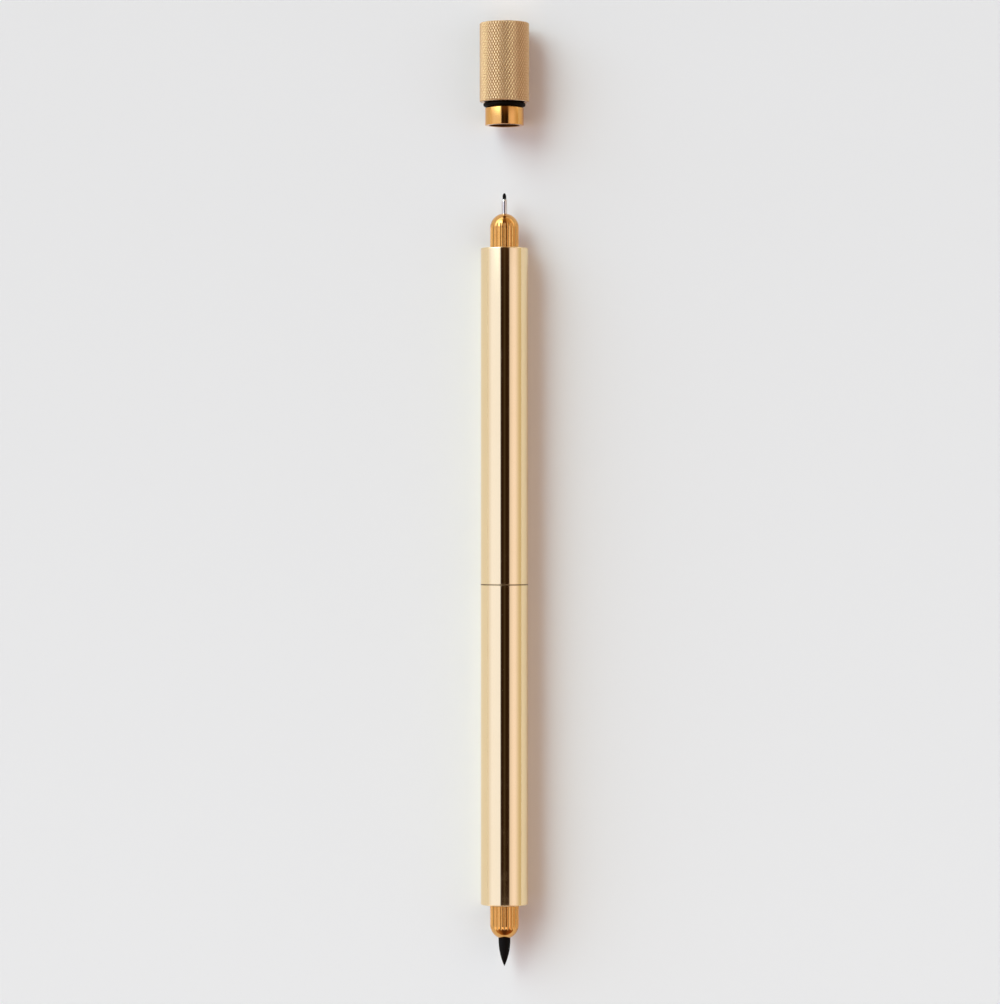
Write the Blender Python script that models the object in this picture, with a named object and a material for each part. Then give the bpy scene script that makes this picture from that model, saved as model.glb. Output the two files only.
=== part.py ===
"""Two-ended drawing pen in brass: a fineliner half and a brush half pushed together, with one knurled cap.

The pen lies along Y on the plane Z = 0, fineliner end towards +Y, with the cap taken off in front of it.
Each half is modelled along its own Y axis, with 0 at the barrel's nib-end face and + pointing out at the nib.
"""

from math import asin, cos, pi, sin, sqrt

import bmesh
import bpy
from mathutils import Matrix, Vector

MM = 0.001

# Fits: radial or end gaps between pieces
SEAT_GAP = 0.05 * MM
SLIDING_CLEARANCE = 0.05 * MM
THREAD_CLEARANCE = 0.08 * MM
LOOSE_CLEARANCE = 0.15 * MM
CARTRIDGE_CLEARANCE = 0.25 * MM

# Fluted noses
NOSE_RADIUS = 3.0 * MM
NOSE_EXPOSED = 4.3 * MM
NOSE_WALL = 0.8 * MM
FLUTES = 24
FLUTE_DEPTH = 0.16 * MM
FLANGE_THICKNESS = 0.7 * MM
FLANGE_LEDGE = 0.62 * MM
SHANK_LENGTH = 7.0 * MM
SHANK_CHAMFER = 0.3 * MM
SEAL_THICKNESS = 0.5 * MM

# Push-fit spigots, the same on the cap and on the coupling
SPIGOT_LENGTH = 4.9 * MM
SPIGOT_END_GAP = 0.3 * MM
SPIGOT_CHAMFER = 0.12 * MM
GROOVE_WALL = 0.3 * MM
GROOVE_WIDTH = 1.27 * MM
GROOVE_SIDE_GAP = 0.06 * MM
O_RING_CORD = 0.95 * MM
O_RING_PROUD = 0.38 * MM

# Barrels
BARREL_WALL = 0.5 * MM
FINELINER_BARREL_LENGTH = 70.75 * MM
BRUSH_BARREL_LENGTH = 67.25 * MM
BARREL_EDGE = 0.12 * MM
SOCKET_LEAD_IN = 0.15 * MM

# Coupling between the halves
COUPLING_SPIGOT_LENGTH = 8.0 * MM
COUPLING_BASE_LENGTH = 8.0 * MM
COUPLING_CHAMFER = 0.4 * MM

# Nibs
SLEEVE_RADIUS = 0.55 * MM
SLEEVE_WALL = 0.125 * MM
SLEEVE_EXPOSED = 3.0 * MM
SLEEVE_CRIMP = 0.3 * MM
SLEEVE_SEAT = 5.0 * MM
TIP_EXPOSED = 1.35 * MM
TIP_POINT = 0.75 * MM
BRUSH_RADIUS = 1.25 * MM
BRUSH_EXPOSED = 6.05 * MM
BRUSH_FULLNESS = 2.25
BRUSH_STEM_LENGTH = 9.0 * MM
BRUSH_TAIL_RADIUS = 0.9 * MM
WICK_DEPTH = 6.0 * MM

# Refills
HOLDER_COLLAR = 1.0 * MM
HOLDER_TAIL = 5.0 * MM
CARTRIDGE_WALL = 0.5 * MM
CARTRIDGE_END_PLAY = 3.0 * MM
PLUG_FLANGE = 1.2 * MM
PLUG_TAIL = 3.0 * MM

# Cap
KNURL_HEIGHT = 0.2 * MM
CAP_CHAMFER = 0.2 * MM
CAP_END_WALL = 3.0 * MM
CAP_TIP_CLEARANCE = 0.6 * MM
CAP_NOSE_CLEARANCE = 0.4 * MM
CAP_TIP_BORE_RADIUS = 2.0 * MM
CAP_DRILL_POINT = 0.8 * MM
CAP_STANDOFF = 14.2 * MM

# Facets round each turned piece
BODY_SIDES = 32
REFILL_SIDES = 24
NEEDLE_SIDES = 16
CORD_SIDES = 8
DOME_STEPS = 6
BRUSH_STEPS = 7
MERGE_DISTANCE = 0.0005 * MM

# Radii, from the nose outwards
SPIGOT_BORE = NOSE_RADIUS + LOOSE_CLEARANCE
GROOVE_FLOOR = SPIGOT_BORE + GROOVE_WALL
O_RING_INSIDE = GROOVE_FLOOR + SEAT_GAP
O_RING_OUTSIDE = O_RING_INSIDE + O_RING_CORD
SPIGOT_RADIUS = O_RING_OUTSIDE - O_RING_PROUD
SOCKET_RADIUS = O_RING_OUTSIDE + SLIDING_CLEARANCE
BARREL_RADIUS = SOCKET_RADIUS + BARREL_WALL
KNURL_RADIUS = BARREL_RADIUS + KNURL_HEIGHT

# Radii, from the socket inwards
FLANGE_RADIUS = SOCKET_RADIUS - LOOSE_CLEARANCE
SHANK_RADIUS = FLANGE_RADIUS - FLANGE_LEDGE
BORE_RADIUS = SHANK_RADIUS + THREAD_CLEARANCE
NOSE_BORE = NOSE_RADIUS - NOSE_WALL
HOLDER_STEM_RADIUS = NOSE_BORE - THREAD_CLEARANCE
CARTRIDGE_RADIUS = BORE_RADIUS - CARTRIDGE_CLEARANCE
CARTRIDGE_INSIDE = CARTRIDGE_RADIUS - CARTRIDGE_WALL
PLUG_TAIL_RADIUS = CARTRIDGE_INSIDE - THREAD_CLEARANCE
TIP_RADIUS = SLEEVE_RADIUS - SLEEVE_WALL - SLIDING_CLEARANCE

# Stations along a half, 0 at the barrel's nib-end face
DOME_BASE = NOSE_EXPOSED
FLANGE_FRONT = -(SPIGOT_LENGTH + SPIGOT_END_GAP)
FLANGE_BACK = FLANGE_FRONT - FLANGE_THICKNESS
SEAL_FRONT = FLANGE_BACK - SEAT_GAP
SEAL_BACK = SEAL_FRONT - SEAL_THICKNESS
SOCKET_FLOOR = SEAL_BACK - SEAT_GAP
SHANK_BACK = SOCKET_FLOOR - SHANK_LENGTH
COLLAR_FRONT = SHANK_BACK - SEAT_GAP
COLLAR_BACK = COLLAR_FRONT - HOLDER_COLLAR
TAIL_BACK = COLLAR_BACK - HOLDER_TAIL
CARTRIDGE_FRONT = COLLAR_BACK - SEAT_GAP
FINELINER_REAR_SOCKET = COUPLING_SPIGOT_LENGTH + SPIGOT_END_GAP
BRUSH_REAR_SOCKET = COUPLING_BASE_LENGTH + SPIGOT_END_GAP

# Reach of the two nibs past the barrel
FINELINER_HOLE = SLEEVE_RADIUS + SLIDING_CLEARANCE
BRUSH_HOLE = BRUSH_RADIUS + SLIDING_CLEARANCE


def dome_face(hole):
    """Station of the flat rim where a nib's hole breaks through the round nose."""
    return DOME_BASE + sqrt(NOSE_RADIUS**2 - hole**2)


SLEEVE_FRONT = dome_face(FINELINER_HOLE) + SLEEVE_EXPOSED
FINELINER_REACH = SLEEVE_FRONT + TIP_EXPOSED
BRUSH_REACH = dome_face(BRUSH_HOLE) + BRUSH_EXPOSED

# The cap, 0 at the shoulder that meets the barrel, + towards its closed end
CAP_NOSE_DEPTH = DOME_BASE + NOSE_RADIUS + CAP_NOSE_CLEARANCE
CAP_TIP_DEPTH = max(FINELINER_REACH, BRUSH_REACH) + CAP_TIP_CLEARANCE
CAP_TOP = CAP_TIP_DEPTH + CAP_END_WALL
GROOVE_BOTTOM = -GROOVE_WIDTH
RING_MIDDLE = -(GROOVE_SIDE_GAP + O_RING_CORD / 2)

# Places along the pen, from the seam between the halves
FINELINER_END = SEAT_GAP / 2 + FINELINER_BARREL_LENGTH
BRUSH_END = -SEAT_GAP / 2 - BRUSH_BARREL_LENGTH
CAP_SHOULDER = FINELINER_END + FINELINER_REACH + CAP_STANDOFF + SPIGOT_LENGTH
CENTRE = (CAP_SHOULDER + CAP_TOP + BRUSH_END - BRUSH_REACH) / 2
PEN_HEIGHT = BARREL_RADIUS * cos(pi / BODY_SIDES)
CAP_HEIGHT = KNURL_RADIUS * cos(pi / BODY_SIDES)


def clear_scene():
    for found in list(bpy.data.objects):
        bpy.data.objects.remove(found)


def make_material(name, colour, roughness, metallic):
    made = bpy.data.materials.new(name)
    made.use_nodes = True
    shader = made.node_tree.nodes["Principled BSDF"]
    shader.inputs["Base Color"].default_value = (*colour, 1.0)
    shader.inputs["Roughness"].default_value = roughness
    shader.inputs["Metallic"].default_value = metallic
    return made


def make_materials():
    return {
        "polished_brass": make_material("polished_brass", (0.86, 0.66, 0.38), 0.12, 1.0),
        "turned_brass": make_material("turned_brass", (0.80, 0.53, 0.24), 0.2, 1.0),
        "knurled_brass": make_material("knurled_brass", (0.78, 0.56, 0.30), 0.35, 1.0),
        "steel": make_material("steel", (0.72, 0.70, 0.68), 0.2, 1.0),
        "rubber": make_material("rubber", (0.015, 0.014, 0.013), 0.5, 0.0),
        "black_fibre": make_material("black_fibre", (0.012, 0.011, 0.011), 0.65, 0.0),
        "ink_fibre": make_material("ink_fibre", (0.04, 0.04, 0.05), 0.9, 0.0),
        "holder_plastic": make_material("holder_plastic", (0.75, 0.75, 0.73), 0.4, 0.0),
        "cartridge_plastic": make_material("cartridge_plastic", (0.55, 0.57, 0.60), 0.25, 0.0),
        "plug_plastic": make_material("plug_plastic", (0.03, 0.03, 0.03), 0.4, 0.0),
    }


def group(name, parent, along, height, turn=0.0):
    """An empty on the pen's axis that carries the pieces of one body."""
    made = bpy.data.objects.new(name, None)
    bpy.context.scene.collection.objects.link(made)
    made.parent = parent
    made.location = (0.0, along, height)
    made.rotation_euler = (0.0, 0.0, turn)
    return made


def arc(centre, radius, first, last, steps):
    """Profile points (along, radius) on a quarter or part circle, angles from the Y axis."""
    angles = [first + (last - first) * i / steps for i in range(steps + 1)]
    return [(centre + radius * cos(a), radius * sin(a)) for a in angles]


def spun(profile, sides):
    """A closed mesh made by turning a profile of (along, radius) about Y, with a flat facet underneath.

    A profile that starts and ends on the axis is a solid, and any other is a loop round a hole.
    """
    made = bmesh.new()
    start = Matrix.Rotation(pi / sides, 4, "Y")
    points = [made.verts.new(start @ Vector((0.0, along, -radius))) for along, radius in profile]
    pairs = list(zip(points, points[1:]))
    if profile[0][1] > 0.0:
        pairs.append((points[-1], points[0]))
    edges = [made.edges.new(pair) for pair in pairs]
    turn = {"cent": (0.0, 0.0, 0.0), "axis": (0.0, 1.0, 0.0), "angle": 2 * pi, "steps": sides}
    bmesh.ops.spin(made, geom=points + edges, use_merge=True, **turn)
    bmesh.ops.remove_doubles(made, verts=made.verts, dist=MERGE_DISTANCE)
    bmesh.ops.recalc_face_normals(made, faces=made.faces)
    return made


def add_piece(name, shape, material, parent, along=0.0):
    mesh = bpy.data.meshes.new(name)
    shape.to_mesh(mesh)
    shape.free()
    mesh.shade_smooth()
    mesh.set_sharp_from_angle(angle=pi / 6)
    mesh.materials.append(material)
    made = bpy.data.objects.new(name, mesh)
    bpy.context.scene.collection.objects.link(made)
    made.parent = parent
    made.location = (0.0, along, 0.0)
    return made


def ring_profile(middle):
    """An O-ring's round section, lying in its groove at the given station."""
    radius = O_RING_CORD / 2
    centre = O_RING_INSIDE + radius
    angles = [2 * pi * i / CORD_SIDES for i in range(CORD_SIDES)]
    return [(middle + radius * cos(a), centre + radius * sin(a)) for a in angles]


def barrel_profile(length, rear_socket):
    return [
        (0.0, SOCKET_RADIUS + SOCKET_LEAD_IN),
        (0.0, BARREL_RADIUS - BARREL_EDGE),
        (-BARREL_EDGE, BARREL_RADIUS),
        (-length + BARREL_EDGE, BARREL_RADIUS),
        (-length, BARREL_RADIUS - BARREL_EDGE),
        (-length, SOCKET_RADIUS + SOCKET_LEAD_IN),
        (-length + SOCKET_LEAD_IN, SOCKET_RADIUS),
        (-length + rear_socket, SOCKET_RADIUS),
        (-length + rear_socket, BORE_RADIUS),
        (SOCKET_FLOOR, BORE_RADIUS),
        (SOCKET_FLOOR, SOCKET_RADIUS),
        (-SOCKET_LEAD_IN, SOCKET_RADIUS),
    ]


def nose_shape(hole):
    """The fluted nose: every other line of points round the grip is sunk to make V flutes.

    On the dome the flutes run out where the round surface drops below their depth.
    """
    dome = arc(DOME_BASE, NOSE_RADIUS, pi / 2, asin(hole / NOSE_RADIUS), DOME_STEPS)
    run_out = sqrt(NOSE_RADIUS**2 - (NOSE_RADIUS - FLUTE_DEPTH) ** 2)
    profile = [
        (dome_face(hole), hole),
        (DOME_BASE, hole),
        (DOME_BASE, NOSE_BORE),
        (SHANK_BACK, NOSE_BORE),
        (SHANK_BACK, SHANK_RADIUS - SHANK_CHAMFER),
        (SHANK_BACK + SHANK_CHAMFER, SHANK_RADIUS),
        (FLANGE_BACK, SHANK_RADIUS),
        (FLANGE_BACK, FLANGE_RADIUS),
        (FLANGE_FRONT, FLANGE_RADIUS),
        (FLANGE_FRONT, NOSE_RADIUS),
        (DOME_BASE, NOSE_RADIUS),
        (DOME_BASE + run_out, NOSE_RADIUS - FLUTE_DEPTH),
    ]
    profile += [point for point in dome if point[0] > DOME_BASE + run_out][:-1]
    made = spun(profile, 2 * FLUTES)
    sink_flutes(made)
    return made


def sink_flutes(shape):
    flute_floor = NOSE_RADIUS - FLUTE_DEPTH
    for vert in shape.verts:
        outside = vert.co.y >= FLANGE_FRONT - MERGE_DISTANCE
        radius = Vector((vert.co.x, vert.co.z)).length
        from_bottom = (Vector((vert.co.x, vert.co.z)).angle_signed(Vector((0.0, -1.0))) / (pi / FLUTES)) % 2
        if outside and flute_floor < radius <= NOSE_RADIUS + MERGE_DISTANCE and from_bottom > 1.0:
            vert.co.x *= flute_floor / radius
            vert.co.z *= flute_floor / radius


def seal_profile():
    inside = SHANK_RADIUS + SEAT_GAP
    return [
        (SEAL_FRONT, inside),
        (SEAL_FRONT, FLANGE_RADIUS),
        (SEAL_BACK, FLANGE_RADIUS),
        (SEAL_BACK, inside),
    ]


def holder_profile(seat_radius, seat_back, wick_radius):
    """The plastic nib holder: a stem in the nose, a collar behind it and a tail in the cartridge.

    Its hole is wide down to seat_back, where the nib or its sleeve seats, and then fits the wick.
    """
    return [
        (DOME_BASE - SEAT_GAP, seat_radius),
        (DOME_BASE - SEAT_GAP, HOLDER_STEM_RADIUS),
        (COLLAR_FRONT, HOLDER_STEM_RADIUS),
        (COLLAR_FRONT, CARTRIDGE_RADIUS),
        (COLLAR_BACK, CARTRIDGE_RADIUS),
        (COLLAR_BACK, PLUG_TAIL_RADIUS),
        (TAIL_BACK, PLUG_TAIL_RADIUS),
        (TAIL_BACK, wick_radius),
        (seat_back, wick_radius),
        (seat_back, seat_radius),
    ]


def sleeve_profile(back):
    inside = SLEEVE_RADIUS - SLEEVE_WALL
    return [
        (SLEEVE_FRONT, inside),
        (SLEEVE_FRONT, SLEEVE_RADIUS - SLEEVE_WALL / 2),
        (SLEEVE_FRONT - SLEEVE_CRIMP, SLEEVE_RADIUS),
        (back, SLEEVE_RADIUS),
        (back, inside),
    ]


def tip_profile(back):
    """The fineliner's core: a rod with a bullet point, which runs back through the sleeve as the wick."""
    shoulder = FINELINER_REACH - TIP_POINT
    stretch = TIP_POINT / TIP_RADIUS
    rounded = arc(0.0, TIP_RADIUS, 0.0, pi / 2, DOME_STEPS // 2)
    point = [(shoulder + stretch * along, radius) for along, radius in rounded[1:]]
    return [(FINELINER_REACH, 0.0), *point, (back, TIP_RADIUS), (back, 0.0)]


def brush_profile(stem_back, back):
    """The brush nib: a full pointed tip on a stem, and a thinner tail that is the wick."""
    base = dome_face(BRUSH_HOLE)
    shares = [1.0 - i / BRUSH_STEPS for i in range(BRUSH_STEPS + 1)]
    point = [(base + BRUSH_EXPOSED * u, BRUSH_RADIUS * (1.0 - u**BRUSH_FULLNESS)) for u in shares]
    point[0] = (BRUSH_REACH, 0.0)
    tail = [(stem_back, BRUSH_RADIUS), (stem_back, BRUSH_TAIL_RADIUS)]
    return [*point, *tail, (back, BRUSH_TAIL_RADIUS), (back, 0.0)]


def cartridge_profile(back):
    return [
        (CARTRIDGE_FRONT, CARTRIDGE_INSIDE),
        (CARTRIDGE_FRONT, CARTRIDGE_RADIUS),
        (back, CARTRIDGE_RADIUS),
        (back, CARTRIDGE_INSIDE),
    ]


def reservoir_profile(front, back, wick_radius, wick_back):
    """The fibre ink store: a plain rod with a blind hole that the wick stands in."""
    radius = CARTRIDGE_INSIDE - THREAD_CLEARANCE
    hole = wick_radius + SLIDING_CLEARANCE
    return [
        (wick_back - SEAT_GAP, 0.0),
        (wick_back - SEAT_GAP, hole),
        (front, hole),
        (front, radius),
        (back, radius),
        (back, 0.0),
    ]


def plug_profile(cartridge_back):
    flange_front = cartridge_back - SEAT_GAP
    return [
        (flange_front + PLUG_TAIL, 0.0),
        (flange_front + PLUG_TAIL, PLUG_TAIL_RADIUS),
        (flange_front, PLUG_TAIL_RADIUS),
        (flange_front, CARTRIDGE_RADIUS),
        (flange_front - PLUG_FLANGE, CARTRIDGE_RADIUS),
        (flange_front - PLUG_FLANGE, 0.0),
    ]


def add_nose(prefix, hole, half, materials):
    add_piece(f"{prefix}_nose", nose_shape(hole), materials["turned_brass"], half)
    seal = spun(seal_profile(), REFILL_SIDES)
    add_piece(f"{prefix}_nose_seal", seal, materials["rubber"], half)


def add_refill(prefix, barrel_back, wick_radius, half, materials):
    """The ink cartridge behind a nib: tube, fibre store and end plug, as long as the barrel leaves room for."""
    back = barrel_back + CARTRIDGE_END_PLAY
    store_front = TAIL_BACK - SEAT_GAP
    store_back = back - SEAT_GAP + PLUG_TAIL + SEAT_GAP
    wick_back = store_front - WICK_DEPTH
    tube = spun(cartridge_profile(back), REFILL_SIDES)
    store = spun(reservoir_profile(store_front, store_back, wick_radius, wick_back), REFILL_SIDES)
    plug = spun(plug_profile(back), REFILL_SIDES)
    add_piece(f"{prefix}_cartridge", tube, materials["cartridge_plastic"], half)
    add_piece(f"{prefix}_reservoir", store, materials["ink_fibre"], half)
    add_piece(f"{prefix}_end_plug", plug, materials["plug_plastic"], half)
    return wick_back


def add_fineliner_half(half, materials):
    barrel = spun(barrel_profile(FINELINER_BARREL_LENGTH, FINELINER_REAR_SOCKET), BODY_SIDES)
    add_piece("fineliner_barrel", barrel, materials["polished_brass"], half)
    add_nose("fineliner", FINELINER_HOLE, half, materials)
    barrel_back = -FINELINER_BARREL_LENGTH + FINELINER_REAR_SOCKET
    wick_back = add_refill("fineliner", barrel_back, TIP_RADIUS, half, materials)
    sleeve_back = DOME_BASE - SLEEVE_SEAT
    wick_hole = TIP_RADIUS + SLIDING_CLEARANCE
    holder = spun(holder_profile(FINELINER_HOLE, sleeve_back - SEAT_GAP, wick_hole), REFILL_SIDES)
    add_piece("fineliner_nib_holder", holder, materials["holder_plastic"], half)
    add_piece("fineliner_sleeve", spun(sleeve_profile(sleeve_back), NEEDLE_SIDES), materials["steel"], half)
    add_piece("fineliner_tip", spun(tip_profile(wick_back), NEEDLE_SIDES), materials["black_fibre"], half)


def add_brush_half(half, materials):
    barrel = spun(barrel_profile(BRUSH_BARREL_LENGTH, BRUSH_REAR_SOCKET), BODY_SIDES)
    add_piece("brush_barrel", barrel, materials["polished_brass"], half)
    add_nose("brush", BRUSH_HOLE, half, materials)
    barrel_back = -BRUSH_BARREL_LENGTH + BRUSH_REAR_SOCKET
    wick_back = add_refill("brush", barrel_back, BRUSH_TAIL_RADIUS, half, materials)
    stem_back = DOME_BASE - BRUSH_STEM_LENGTH
    wick_hole = BRUSH_TAIL_RADIUS + SLIDING_CLEARANCE
    holder = spun(holder_profile(BRUSH_HOLE, stem_back - SEAT_GAP, wick_hole), REFILL_SIDES)
    add_piece("brush_nib_holder", holder, materials["holder_plastic"], half)
    add_piece("brush_nib", spun(brush_profile(stem_back, wick_back), REFILL_SIDES), materials["black_fibre"], half)


def add_coupling(half, materials):
    """The plug fixed in the brush half's back end, whose spigot and O-ring push into the fineliner half."""
    seam = -BRUSH_BARREL_LENGTH
    base_radius = SOCKET_RADIUS - SLIDING_CLEARANCE
    spigot_end = seam - COUPLING_SPIGOT_LENGTH
    profile = [
        (seam + COUPLING_BASE_LENGTH, 0.0),
        (seam + COUPLING_BASE_LENGTH, base_radius - COUPLING_CHAMFER),
        (seam + COUPLING_BASE_LENGTH - COUPLING_CHAMFER, base_radius),
        (seam, base_radius),
        (seam, GROOVE_FLOOR),
        (seam + GROOVE_BOTTOM, GROOVE_FLOOR),
        (seam + GROOVE_BOTTOM, SPIGOT_RADIUS),
        (spigot_end + COUPLING_CHAMFER, SPIGOT_RADIUS),
        (spigot_end, SPIGOT_RADIUS - COUPLING_CHAMFER),
        (spigot_end, 0.0),
    ]
    add_piece("coupling_spigot", spun(profile, BODY_SIDES), materials["turned_brass"], half)
    ring = spun(ring_profile(seam + RING_MIDDLE), BODY_SIDES)
    add_piece("coupling_o_ring", ring, materials["rubber"], half)


def cap_profile():
    """The cap from the middle of its closed end, down the outside and the spigot, and back up the bore."""
    return [
        (CAP_TOP, 0.0),
        (CAP_TOP, KNURL_RADIUS - CAP_CHAMFER),
        (CAP_TOP - CAP_CHAMFER, KNURL_RADIUS),
        (CAP_CHAMFER, KNURL_RADIUS),
        (0.0, KNURL_RADIUS - CAP_CHAMFER),
        (0.0, GROOVE_FLOOR),
        (GROOVE_BOTTOM, GROOVE_FLOOR),
        (GROOVE_BOTTOM, SPIGOT_RADIUS),
        (-SPIGOT_LENGTH + SPIGOT_CHAMFER, SPIGOT_RADIUS),
        (-SPIGOT_LENGTH, SPIGOT_RADIUS - SPIGOT_CHAMFER),
        (-SPIGOT_LENGTH, SPIGOT_BORE),
        (CAP_NOSE_DEPTH, SPIGOT_BORE),
        (CAP_NOSE_DEPTH, CAP_TIP_BORE_RADIUS),
        (CAP_TIP_DEPTH - CAP_DRILL_POINT, CAP_TIP_BORE_RADIUS),
        (CAP_TIP_DEPTH, 0.0),
    ]


def add_cap(cap, materials):
    add_piece("cap_shell", spun(cap_profile(), BODY_SIDES), materials["knurled_brass"], cap)
    ring = spun(ring_profile(RING_MIDDLE), BODY_SIDES)
    add_piece("cap_o_ring", ring, materials["rubber"], cap)


def main():
    clear_scene()
    materials = make_materials()
    pen = group("pen", None, -CENTRE, 0.0)
    fineliner_half = group("fineliner_half", pen, FINELINER_END, PEN_HEIGHT)
    brush_half = group("brush_half", pen, BRUSH_END, PEN_HEIGHT, turn=pi)
    cap = group("cap", pen, CAP_SHOULDER, CAP_HEIGHT)
    add_fineliner_half(fineliner_half, materials)
    add_brush_half(brush_half, materials)
    add_coupling(brush_half, materials)
    add_cap(cap, materials)


main()
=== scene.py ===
from math import asin, atan2, cos, pi, radians, sin, sqrt, tan

import bmesh
import bpy
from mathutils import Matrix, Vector


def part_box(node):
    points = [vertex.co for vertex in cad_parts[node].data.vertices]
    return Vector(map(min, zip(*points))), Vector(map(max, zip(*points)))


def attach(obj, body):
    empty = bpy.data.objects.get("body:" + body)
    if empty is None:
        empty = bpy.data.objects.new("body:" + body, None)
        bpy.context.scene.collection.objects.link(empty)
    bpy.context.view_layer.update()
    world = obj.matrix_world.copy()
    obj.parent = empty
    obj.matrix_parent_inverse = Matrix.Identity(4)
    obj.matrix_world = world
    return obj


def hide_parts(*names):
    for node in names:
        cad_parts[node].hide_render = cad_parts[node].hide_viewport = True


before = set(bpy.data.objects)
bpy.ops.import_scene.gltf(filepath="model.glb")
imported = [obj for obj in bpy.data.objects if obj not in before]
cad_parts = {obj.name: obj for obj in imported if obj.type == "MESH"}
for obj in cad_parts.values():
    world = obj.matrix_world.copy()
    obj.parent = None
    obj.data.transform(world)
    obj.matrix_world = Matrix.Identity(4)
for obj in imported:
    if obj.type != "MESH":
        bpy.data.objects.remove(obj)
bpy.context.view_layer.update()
scene = bpy.context.scene
mm = 0.001

# each turned piece is drawn on a line: stations run out towards the nib, or up the cap
barrelLow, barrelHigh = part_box("fineliner_barrel")
capLow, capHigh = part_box("cap_shell")
penHeight = (barrelLow.z + barrelHigh.z) / 2
capHeight = (capLow.z + capHigh.z) / 2
capLength = 16.654
domeBase = 4.3  # where the round end of a nose starts
upperLine = {"start": barrelHigh.y, "way": 1, "height": penHeight}
lowerLine = {"start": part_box("brush_barrel")[0].y, "way": -1, "height": penHeight}
capLine = {"start": capHigh.y - capLength * mm, "way": 1, "height": capHeight}


class Wire:
    def __init__(self, tree, socket=None):
        self.tree = tree
        self.socket = socket

    def node(self, kind, settings=None, sockets=None, out=0):
        made = self.tree.nodes.new(kind)
        for name, value in (settings or {}).items():
            if name == "stops":  # a ramp's stops, (place, colour)
                ramp = made.color_ramp.elements
                while len(ramp) < len(value):
                    ramp.new(1.0)
                for stop, (where, colour) in zip(ramp, value):
                    stop.position = where
                    stop.color = (*colour, 1.0)
            else:
                setattr(made, name, value)
        for name, value in (sockets or {}).items():
            if isinstance(value, Wire):
                self.tree.links.new(value.socket, made.inputs[name])
            else:
                made.inputs[name].default_value = value
        return Wire(self.tree, made.outputs[out] if len(made.outputs) else None)

    def math(self, operation, *values):  # with no values given, the wire itself is the value
        return self.node("ShaderNodeMath", {"operation": operation}, dict(enumerate(values or (self,))))

    def __add__(self, other):
        return self.math("ADD", self, other)

    def __radd__(self, other):
        return self.math("ADD", other, self)

    def __sub__(self, other):
        return self.math("SUBTRACT", self, other)

    def __rsub__(self, other):
        return self.math("SUBTRACT", other, self)

    def __mul__(self, other):
        return self.math("MULTIPLY", self, other)

    def __rmul__(self, other):
        return self.math("MULTIPLY", other, self)

    def __truediv__(self, other):
        return self.math("DIVIDE", self, other)

    def __rtruediv__(self, other):
        return self.math("DIVIDE", other, self)

    def __gt__(self, other):
        return self.math("GREATER_THAN", self, other)

    def split(self):
        parts = self.tree.nodes.new("ShaderNodeSeparateXYZ")
        self.tree.links.new(self.socket, parts.inputs[0])
        return [Wire(self.tree, socket) for socket in parts.outputs]

    def joined(self, x, y, z):
        return self.node("ShaderNodeCombineXYZ", None, {0: x, 1: y, 2: z})

    def fade(self, low, high):  # 0 at low, 1 at high, eased
        settings = {"interpolation_type": "SMOOTHSTEP"}
        return self.node("ShaderNodeMapRange", settings, {"Value": self, "From Min": low, "From Max": high})

    def tint(self, first, second):  # first colour where self is 0, second where it is 1
        first, second = ((*c, 1.0) if isinstance(c, tuple) else c for c in (first, second))
        return self.node("ShaderNodeMix", {"data_type": "RGBA"}, {0: self, 6: first, 7: second}, 2)


def at(line, along, radius, angle):
    y = line["start"] + line["way"] * along * mm
    return Vector((radius * mm * sin(angle), y, line["height"] + radius * mm * cos(angle)))


easeShare = 0.48  # the most of a side that an arc may take


def eased(corners, bends=4):  # corners are (along, radius, ease); one with an ease becomes a short arc
    points = []
    for k, corner in enumerate(corners):
        here = Vector(corner[:2])
        ease = corner[2] if len(corner) > 2 else 0.0
        if not ease:
            points.append(tuple(here))
            continue
        before = Vector(corners[k - 1][:2]) - here
        after = Vector(corners[(k + 1) % len(corners)][:2]) - here
        first = here + before.normalized() * min(ease, before.length * easeShare)
        last = here + after.normalized() * min(ease, after.length * easeShare)
        for i in range(bends + 1):
            s = i / bends
            points.append(tuple(first * (1 - s) ** 2 + here * 2 * s * (1 - s) + last * s * s))
    return points


def turned(profile, line, steps, runs=None):  # solid if the profile starts on the axis, else a ring
    shape = bmesh.new()
    run = shape.verts.layers.float.new("run") if runs else None
    rings = []
    for k, (along, radius) in enumerate(profile):
        count = steps if radius > 0 else 1
        ring = [shape.verts.new(at(line, along, radius, 2 * pi * i / steps)) for i in range(count)]
        for vert in ring if runs else []:
            vert[run] = runs[k]
        rings.append(ring)
    pairs = list(zip(rings, rings[1:]))
    if profile[0][1] > 0:
        pairs.append((rings[-1], rings[0]))
    for one, two in pairs:
        for i in range(steps):
            j = (i + 1) % steps
            loop = [one[i % len(one)], one[j % len(one)], two[j % len(two)], two[i % len(two)]]
            corners = list(dict.fromkeys(loop))
            if len(corners) > 2:
                shape.faces.new(corners)
    bmesh.ops.recalc_face_normals(shape, faces=shape.faces)
    return shape


def added(name, shape):
    mesh = bpy.data.meshes.new(name)
    shape.to_mesh(mesh)
    shape.free()
    made = bpy.data.objects.new(name, mesh)
    scene.collection.objects.link(made)
    return made


def settled(piece, material, body, nodes, sharp=30):
    if not piece.data.materials:
        piece.data.materials.append(material)
    piece.data.shade_smooth()
    piece.data.set_sharp_from_angle(angle=radians(sharp))
    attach(piece, body)
    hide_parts(*nodes)


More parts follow.
